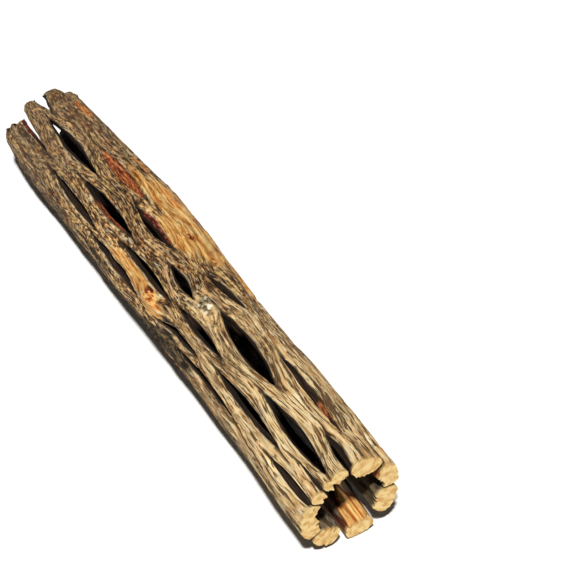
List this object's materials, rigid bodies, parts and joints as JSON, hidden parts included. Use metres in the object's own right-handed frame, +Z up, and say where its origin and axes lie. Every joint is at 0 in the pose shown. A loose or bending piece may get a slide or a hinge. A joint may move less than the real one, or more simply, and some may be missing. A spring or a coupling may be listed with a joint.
{
  "type": "cholla cactus skeleton",
  "caption": "Dried hollow cactus stem of woody net, lying on its side: lens-shaped windows between flowing strands, one end sawn flat, the other worn to fingers.",
  "frame": {"origin": "middle of the bounding box's underside, where the log lies on the surface", "axes": "+X along the log towards its sawn end, +Z up, +Y across it"},
  "size_m": [0.252, 0.0418, 0.0406],
  "materials": {
    "wood": "dry, unfinished weathered wood"
  },
  "bodies": {
    "root": {"cholla_skeleton": "wood"}
  },
  "joints": []
}
